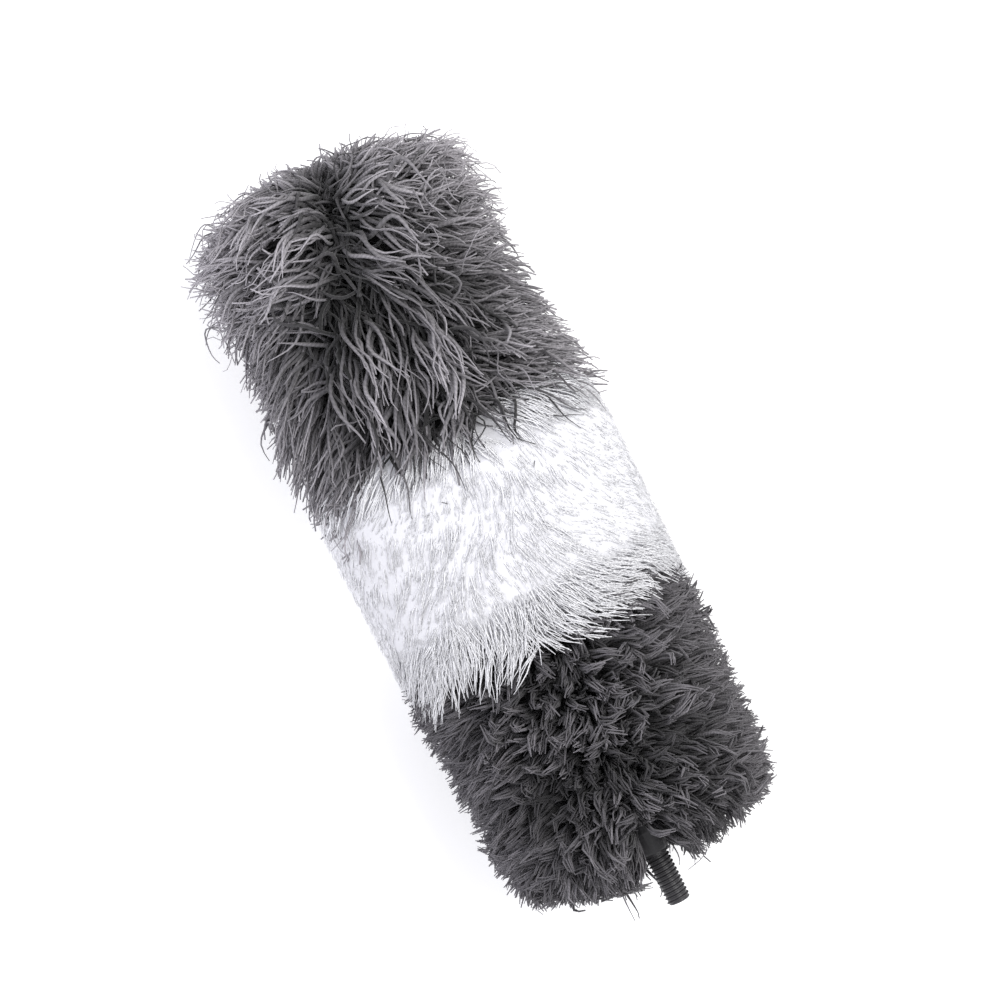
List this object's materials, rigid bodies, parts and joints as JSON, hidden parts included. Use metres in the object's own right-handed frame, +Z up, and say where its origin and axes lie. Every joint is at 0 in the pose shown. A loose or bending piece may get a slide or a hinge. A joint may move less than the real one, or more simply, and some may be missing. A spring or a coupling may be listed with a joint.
{
  "type": "bendable duster head",
  "caption": "Bendable microfibre duster head: banded long-yarn sleeve on a wire core with a threaded stud for an extension pole.",
  "frame": {"origin": "Middle of the bounding box at floor level, under the core, with the head lying on its side.", "axes": "+X along the core from the stud to the crown of the fur, +Z up, +Y to the left seen from the stud."},
  "size_m": [0.4, 0.1518, 0.1259],
  "materials": {
    "connector_plastic": "satin",
    "ferrule_steel": "satin",
    "core_wire": "satin",
    "core_tube": "matte",
    "cap_rubber": "matte",
    "hem_fabric": "matte",
    "elastic": "matte",
    "seam_thread": "matte",
    "dark_grey_knit": "matte",
    "white_knit": "matte",
    "grey_knit": "matte",
    "dark_grey_yarn": "matte",
    "white_yarn": "matte",
    "grey_yarn": "matte"
  },
  "bodies": {
    "connector_link": {"threaded_connector": "connector_plastic", "core_ferrule": "ferrule_steel", "core_wire_1": "core_wire", "core_tube_1": "core_tube", "hem_casing": "hem_fabric", "hem_elastic": "elastic", "sleeve_lower_end": "dark_grey_knit", "pile_lower_end": "dark_grey_yarn"},
    "lower_link": {"core_wire_2": "core_wire", "core_tube_2": "core_tube", "sleeve_lower": "dark_grey_knit", "pile_lower": "dark_grey_yarn"},
    "white_near_link": {"core_wire_3": "core_wire", "core_tube_3": "core_tube", "sleeve_white_near": "white_knit", "seam_lower": "seam_thread", "pile_white_near": "white_yarn"},
    "white_far_link": {"core_wire_4": "core_wire", "core_tube_4": "core_tube", "sleeve_white_far": "white_knit", "pile_white_far": "white_yarn"},
    "upper_link": {"core_wire_5": "core_wire", "core_tube_5": "core_tube", "sleeve_upper": "grey_knit", "seam_upper": "seam_thread", "pile_upper": "grey_yarn"},
    "tip_link": {"core_wire_6": "core_wire", "core_tube_6": "core_tube", "tip_cap": "cap_rubber", "sleeve_upper_end": "grey_knit", "gather_thread": "seam_thread", "pile_upper_end": "grey_yarn", "pile_crown": "grey_yarn"}
  },
  "joints": [
    {"name": "bend_1", "type": "hinge", "parent": "connector_link", "child": "lower_link", "pos_m": [-0.1125, 0, 0.06], "axis": [0, 0, 1], "range_deg": [-18, 18]},
    {"name": "bend_2", "type": "hinge", "parent": "lower_link", "child": "white_near_link", "pos_m": [-0.0495, 0, 0.06], "axis": [0, 0, 1], "range_deg": [-18, 18]},
    {"name": "bend_3", "type": "hinge", "parent": "white_near_link", "child": "white_far_link", "pos_m": [0.0035, 0, 0.06], "axis": [0, 0, 1], "range_deg": [-18, 18]},
    {"name": "bend_4", "type": "hinge", "parent": "white_far_link", "child": "upper_link", "pos_m": [0.0575, 0, 0.06], "axis": [0, 0, 1], "range_deg": [-18, 18]},
    {"name": "bend_5", "type": "hinge", "parent": "upper_link", "child": "tip_link", "pos_m": [0.1315, 0, 0.06], "axis": [0, 0, 1], "range_deg": [-18, 18]}
  ],
  "couplings": [
    {"joint": "bend_2", "follows": "bend_1", "ratio": 1},
    {"joint": "bend_3", "follows": "bend_1", "ratio": 1},
    {"joint": "bend_4", "follows": "bend_1", "ratio": 1},
    {"joint": "bend_5", "follows": "bend_1", "ratio": 1}
  ]
}
